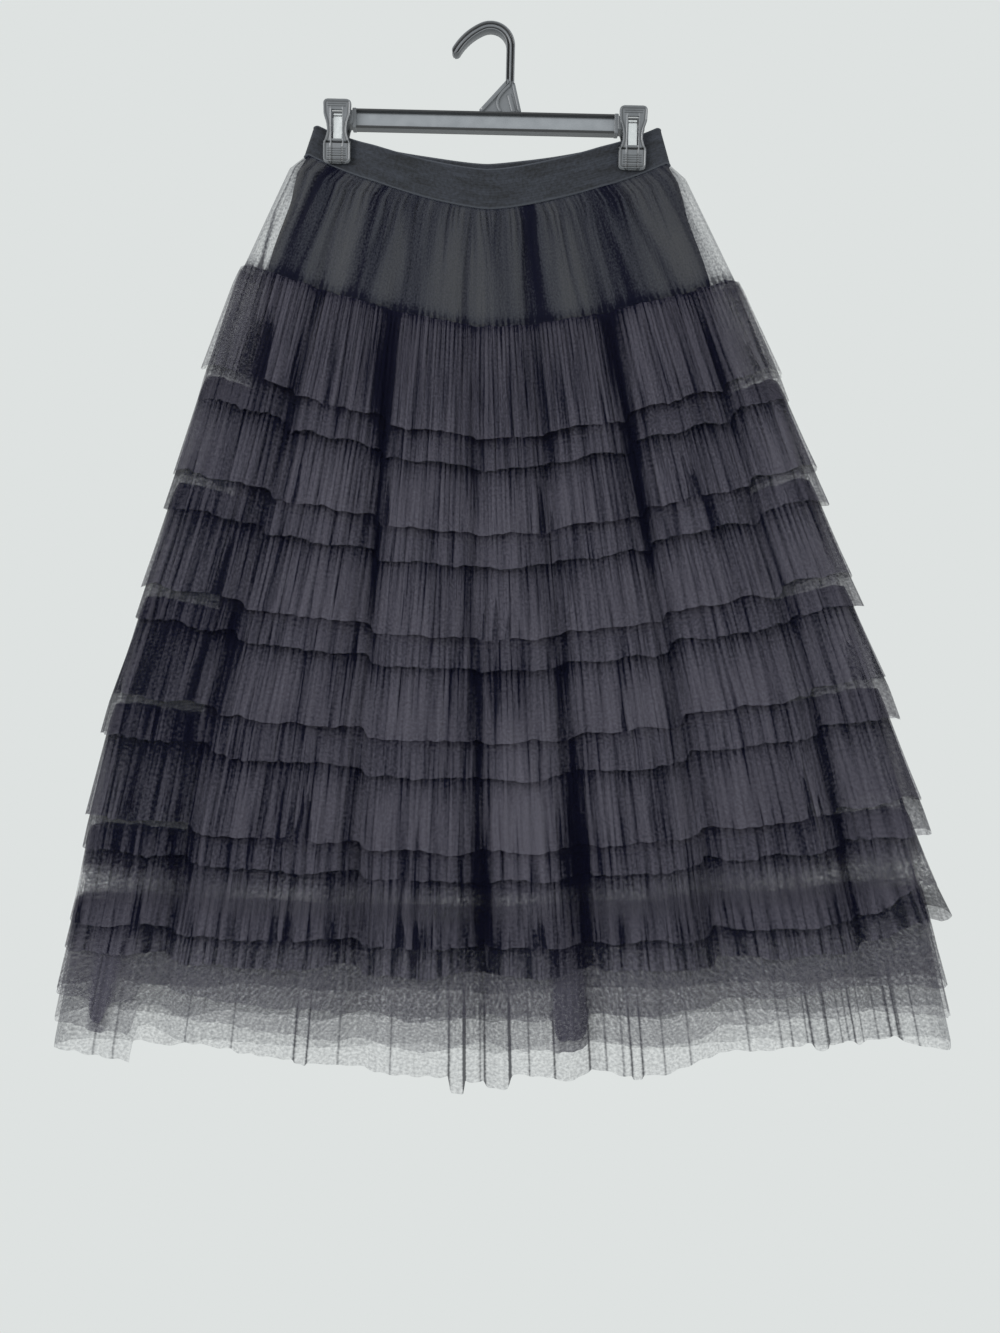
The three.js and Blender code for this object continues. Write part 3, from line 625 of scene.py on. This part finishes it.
# Hairlines: the doubled edges of narrow flutes, which show as thin dark lines down the bare hem.
HAIRLINES = np.array([-0.93, -0.885, -0.72, -0.61, -0.37, -0.25, -0.085, -0.05, 0.06, 0.235, 0.27, 0.36, 0.42,
                      0.56, 0.63, 0.655, 0.69, 0.735, 0.77, 0.79, 0.83, 0.87, 0.915, 0.95])
turn = skirt_ring["turn"]
hem_stray = 2 + 0.9 * uneven(turn, 60, 11) + 1.8 * uneven(turn, 14, 12)
hem_stray = hem_stray + is_front * np.interp(across, *HEM_LINE)
flute_edge = np.zeros(turn.size)
for at, half, low in HEM_FLUTES:
    off = np.abs(across - at) / half
    hem_stray = hem_stray + is_front * low * np.exp(-off ** 10)
    flute_edge = flute_edge + is_front * np.exp(-((off - 1) * half / 0.0025) ** 2)
hairline = is_front * np.exp(-((across[:, None] - HAIRLINES) / 0.0022) ** 2).sum(axis=1)
skirt_drop = skirt_steps[:, None]
skirt_drop = skirt_drop + hem_stray * np.clip((skirt_drop - BARE_FROM) / (HEM_DROP - BARE_FROM), 0, 1)
# Gathers: valleys that start at the waist seam, each with its own place, slant, length and width.
chance = np.random.default_rng(21)
gather = np.zeros(skirt_drop.shape)
for facing, count in ((1, 84), (-1, 60)):
    here = flat_part & (skirt_ring["facing"] == facing)
    places = np.linspace(-0.98, 0.98, count) + chance.normal(0, 0.55 / count, count)
    slants = chance.normal(0, 0.035, count)
    short = chance.random(count) < 0.6
    lengths = np.where(short, chance.uniform(18, 45, count), chance.uniform(80, 190, count))
    widths = np.where(short, chance.uniform(0.005, 0.013, count), chance.uniform(0.008, 0.024, count))
    levels = chance.uniform(0.25, 0.85, count)
    for at, slant, length, width, level in zip(places, slants, lengths, widths, levels):
        middle = at + slant * skirt_drop / YOKE_FOOT + 0.007 * np.sin(skirt_drop / 27 + 40 * at)
        off = (across - middle) / (width * (0.7 + skirt_drop / 130))
        gather += here * level * np.exp(-off ** 2 - (skirt_drop / length) ** 2)
# Flutes: narrow standing folds of the bare hem.
bare = np.clip((skirt_drop - BARE_FROM) / 90, 0, 1)
flute = uneven(turn + 0.0008 * np.sin(skirt_drop / 30), 40, 22)
gather_lift = (1.2 - 2.8 * np.minimum(gather, 1.2)) * np.clip(skirt_drop / 9, 0, 1) * (skirt_drop < 135)
skirt_lift = -0.6 + flat_part * (gather_lift + 2.6 * (np.abs(flute) - 0.5) * bare)
skirt_points = cloth(SKIRT, skirt_ring, skirt_drop, skirt_lift)
_, skirt_dark, *_ = fold_sums(skirt_ring, skirt_drop)
backed = over_lining(skirt_points, skirt_drop)
# Painted shade of the yoke: dark gather valleys, where the net is also doubled, and broad soft patches
# of shadow; and a fuzzy dark line where the first tier is stitched on.
yoke = np.clip((125 - skirt_drop) / 10, 0, 1)
patches = uneven(turn + 0.0016 * np.sin(skirt_drop / 40), 15, 23) * flat_part
stitched = np.exp(-((skirt_drop - 114) / 7) ** 2) * (0.7 + 0.4 * uneven(turn, 170, 24))
soft_shade = 0.6 * np.clip(0.1 - patches, 0, 1) * backed
skirt_crease = yoke * (0.55 * np.tanh(3.0 * gather) + soft_shade + 0.7 * stitched)
skirt_crease = skirt_crease + np.clip((skirt_drop - 712) / 30, 0, 1) * (0.9 * flute_edge + 0.6 * hairline)
# Overlocked side seam of the net, which shows as a dark line through the sheer left edge.
overlock_at = -1.0 + 0.045 * np.clip((skirt_drop - 60) / 55, 0, 1)
overlock = is_front * np.exp(-((across - overlock_at) / 0.009) ** 2) * (skirt_drop < 116) * flat_part
skirt_crease = skirt_crease + 0.8 * overlock + 0.12 * ~flat_part
skirt_crease = skirt_crease + 0.2 * np.clip((skirt_drop - 118) / 10, 0, 1)
skirt_cover = np.where(skirt_drop < YOKE_FOOT, 0.13 + 0.28 * backed, 0.06)
# Painted shade down the valleys of the large folds, where the net also lies deeper.
skirt_fold_shade = skirt_dark * np.interp(skirt_drop, [60, 300, 640, 720], [0, 1, 1, 0.12])
tulle_skirt = surface("tulle_skirt", skirt_points, True, turn + 0 * skirt_drop, -skirt_drop * MM,
                      cover=skirt_cover, crease=skirt_crease, fold=skirt_fold_shade,
                      shimmer=0.02, press=0.45 * yoke + 0.12 * bare)
tulle_skirt.data.materials.append(tulle("soft_nylon_tulle", "#4b4e58", "#05071a", 0.0024, 0.85))
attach(tulle_skirt, "root")
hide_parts("skirt_front", "skirt_back")


# Tiers: seven double strips of the same net, accordion pleated and sewn on along their upper edges.
# The outer strip is shorter than the inner, and both stand off towards their bare cut hems.
# A tier's drops in mm to its seam and hems, how far its hem stands off and how much that waves, how far
# its right corner swings out, its cover in the middle and at the sides, and its shimmer.
TIER = ("seam", "outer_hem", "inner_hem", "stand_off", "wave", "corner", "cover", "edge_cover", "shimmer")
TIERS = [dict(zip(TIER, row)) for row in (
    (YOKE_FOOT, 220, 248, 9, 3, 0, 0.64, 0.30, 0.12),
    (229, 308, 338, 9, 3, 5, 0.64, 0.52, 0.09),
    (317, 403, 431, 9, 3, 7, 0.64, 0.52, 0.09),
    (412, 496, 529, 9, 3, 9, 0.64, 0.54, 0.09),
    (505, 594, 620, 9, 3, 16, 0.62, 0.54, 0.09),
    (603, 679, 704, 9, 3, 23, 0.62, 0.48, 0.10),
    (658, 743, 769, 4.5, 1.5, 0, 0.22, 0.22, 0.09),
)]
pleated = tulle("accordion_pleated_tulle", "#5e5c67", "#06071a", 0.0024, 0.45)
# Broad painted shade and light on the front as it hangs: place as a share, drop, half width as a
# share, half height in mm, and how much darker (painted shade) or, below zero, lighter (painted light)
# the cloth is there.
PAINTED_SHADE_AND_LIGHT = ((-0.95, 560, 0.12, 130, 0.22), (-0.86, 430, 0.20, 180, 0.34), (-0.5, 170, 0.45, 60, 0.28),
          (0.2, 170, 0.5, 60, 0.26), (0.07, 560, 0.12, 60, -0.35), (0.04, 455, 0.16, 30, 0.18),
          (0.62, 480, 0.12, 90, -0.10), (0.72, 330, 0.05, 160, 0.22), (-0.55, 560, 0.12, 120, 0.12),
          (0, 670, 0.8, 36, 0.24))
PLEATS_FRONT, PLEATS_BACK, PLEAT_ROWS = 116, 92, 15
for number, tier in enumerate(TIERS, 1):
    last = number == len(TIERS)
    for layer, seat, extra in (("inner", 0.5, 0), ("outer", 2.0, 2.5)):
        hem = tier[f"{layer}_hem"]
        outer = layer == "outer"
        seed = 100 * number + (50 if outer else 0)
        strip_ring = ring(4 * PLEATS_FRONT, 4 * PLEATS_BACK, arc=8, stray=0.5, seed=seed)
        turn, across = strip_ring["turn"], strip_ring["across"]
        is_front, on_side = strip_ring["facing"] > 0, strip_ring["side"] != 0
        step = np.linspace(0, 1, PLEAT_ROWS)[:, None]
        seam_edge = tier["seam"] + 0.8 * uneven(turn, 70, seed + 6)
        hem_edge = hem + 0.6 * uneven(turn, 90, seed + 1) + 1.6 * uneven(turn, 22, seed + 2)
        # Two bunched flutes of the last tier hang low and dense, one near the middle and one at the left.
        bunch = np.zeros((PLEAT_ROWS, turn.size))
        for at, half, soft, taper in ((0.157, 0.041, 8, 0.0), (-0.925, 0.055, 4, 0.6)):
            off = np.abs((across - at) / half / (1 - taper * step))
            bunch = bunch + last * is_front * np.exp(-off ** soft)
        hem_edge = hem_edge + bunch[-1] * (20 if outer else 3)
        # Each large fold tucks cloth away, so the hem steps up on the fold's outer side.
        for folds, facing in ((FRONT_FOLDS, 1), (BACK_FOLDS, -1)):
            fold_at = folds["top"] + (folds["hem"] - folds["top"]) * hem / HEM_DROP
            off = across[:, None] - fold_at
            jump = -np.sign(fold_at) * 95 * folds["hidden"]
            jump = jump * np.tanh(off / 0.006) * np.exp(-np.abs(off) / 0.11)
            hem_edge = hem_edge + (strip_ring["facing"] == facing) * (not last) * jump.sum(axis=1)
        # The last tier follows part of the stray of the skirt's own hem, and the corner of the sixth
        # is caught up at the right.
        follow = last * is_front * (0.5 if outer else 0.8)
        hem_edge = hem_edge + follow * np.interp(across, *HEM_LINE)
        to_right = 1 - across * strip_ring["facing"]
        hem_edge = hem_edge - (number == 6) * 19 * np.exp(-(to_right / 0.07) ** 2)
        drop = seam_edge + (hem_edge - seam_edge) * step
        share = (drop - tier["seam"]) / (tier["inner_hem"] - tier["seam"])
        # Pleats: a zigzag of four columns, each pleat its own height, sharpest just under the seam.
        count = turn.size // 4
        chance = np.random.default_rng(seed + 3)
        pleat = np.tile([0, 1, 0, -1], count) * np.repeat(chance.uniform(0.7, 1.1, count), 4)
        press = np.interp(step, [0, 0.12, 0.5, 1], [0.35, 1.1, 0.8, 0.55])
        # Flutes: the pleats open into broader folds with sharp valleys towards the hem.
        flute = uneven(turn + 0.0010 * np.sin(4 * step + number), 52, seed + 4)
        valley = np.exp(-(flute / 0.16) ** 2)
        # Painted shade of the large folds, which also keeps the strip closer in them.
        _, dark, *_ = fold_sums(strip_ring, drop)
        # The strip stands off less round the side folds, but for one corner that swings out at the right.
        to_side = (1 - np.abs(across)) * np.interp(drop, SKIRT["drop"], SKIRT["half"])
        corner = tier["corner"] * np.exp(-(to_right / 0.05) ** 2) * np.cos(strip_ring["angle"]) ** 2
        stand = tier["stand_off"] + extra + tier["wave"] * uneven(turn, 12, seed + 5)
        stand = stand * (1 - 0.35 * np.exp(-(to_side / 30) ** 2)) + corner
        opening = 2.4 * (np.abs(flute) - 0.45)
        lift = seat + share * (stand + opening) * (1 - 0.6 * np.clip(dark, 0, 1)) + press * (pleat + 0.6)
        points = cloth(SKIRT, strip_ring, drop, np.maximum(lift, seat))
        # Marks, partly denser net and partly painted shade: pleat valleys near the seam, flute valleys
        # towards the hem, the stitched seam, and the painted shadow that the hem above casts just under it.
        crease = 0.4 * (pleat < -0.2) * np.interp(step, [0, 0.4, 1], [1, 0.5, 0.2])
        crease = crease + 0.45 * valley * np.interp(step, [0, 0.3, 1], [0.05, 0.4, 1])
        crease = crease + 0.5 * np.exp(-(drop - seam_edge) / (7 if number == 1 else 2.5))
        # Painted shade: the inner strip is darker all over and most just under the outer hem, and the outer
        # strip is darker just under the inner hem of the tier above.
        if layer == "inner":
            crease = crease + 0.15 + 0.4 * np.exp(-np.maximum(drop - tier["outer_hem"], 0) / 7)
        elif number > 1:
            crease = crease + 0.5 * np.exp(-np.maximum(drop - TIERS[number - 2]["inner_hem"], 0) / 16)
        # Broad painted shade and light from the table above.
        for at, middle, half, tall, level in PAINTED_SHADE_AND_LIGHT:
            off = ((across - at) / half) ** 2 + ((drop - middle) / tall) ** 2
            crease = crease + is_front * level * np.exp(-off)
        # Cover: closer pleated over the front and back than round the sides, and thinner in the gap
        # between the hem of the lining and the top of the last tier.
        inside = np.clip(to_side / (40 if number == 1 else 25), 0, 1)
        cover = tier["edge_cover"] + (tier["cover"] - tier["edge_cover"]) * inside + 0.5 * bunch
        cover = np.where(on_side, 0.75 * cover, cover) + (0.17 if last and outer else 0)
        clear = np.exp(-((drop - 647) / 12) ** 4) * (0.6 + 0.4 * uneven(turn, 8, seed + 7)) * (number == 6)
        cover = cover - 0.5 * clear
        crease = 0.3 + 0.25 * crease if last else crease * (1 - 0.6 * clear)
        shimmer = tier["shimmer"] + 0.12 * clear + (0.15 if last and outer else 0)
        # The last tier is hardly pressed, and the folds above it fade out in it.
        pressed = 0.12 if last else 1.0
        strip = surface(f"tier{number}_{layer}", points, True, turn + 0 * drop, -drop * MM,
                        cover=cover, crease=crease, fold=dark * pressed, shimmer=shimmer, press=pressed)
        strip.data.materials.append(pleated)
        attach(strip, "root")
        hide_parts(f"tier{number}_{layer}_front", f"tier{number}_{layer}_back")
        width = 4.4 * np.interp((tier["seam"] + hem) / 2, SKIRT["drop"], SKIRT["half"]) * MM


# Floor, light and camera: a pale matt floor under the hanging skirt, a pale room that lights it from
# all round, one large soft lamp from the upper left and a weaker one from the right.
edge_x, edge_y = np.meshgrid(np.linspace(-1000, 1000, 3), np.linspace(1000, -1000, 3))
floor = surface("floor", np.stack([edge_x, edge_y, np.full_like(edge_x, -1900.0)], axis=-1), False)
paint, _, shader = new_material("pale_matt_paint")
shader.inputs["Base Color"].default_value = linear("#d5d9d8")
shader.inputs["Roughness"].default_value = 0.9
floor.data.materials.append(paint)

room = bpy.data.worlds.new("pale_room")
room.use_nodes = True
room.node_tree.nodes["Background"].inputs["Color"].default_value = linear("#dee2e1")
room.node_tree.nodes["Background"].inputs["Strength"].default_value = 1.0
bpy.context.scene.world = room
bpy.context.scene.view_settings.view_transform = "Standard"


def lamp(name, place, turn, size, power):
    """A square soft lamp: its place in metres, turn in degrees about X, Y and Z, side and power."""
    light = bpy.data.lights.new(name, "AREA")
    light.shape, light.size, light.energy = "SQUARE", size, power
    made = bpy.data.objects.new(name, light)
    made.location = place
    made.rotation_euler = np.radians(turn)
    bpy.context.scene.collection.objects.link(made)


lamp("key_lamp", (-1.6, -1.4, 0.6), (60, 0, -48), 1.0, 28)
lamp("fill_lamp", (1.7, -1.5, -0.3), (80, 0, 48), 1.4, 9)

lens = bpy.data.cameras.new("camera")
lens.sensor_width, lens.lens = 36.0, 27.0
camera = bpy.data.objects.new("camera", lens)
camera.location = (0.01175, -0.940, -0.5964)
camera.rotation_euler = (np.pi / 2, 0, 0)
bpy.context.scene.collection.objects.link(camera)
bpy.context.scene.camera = camera
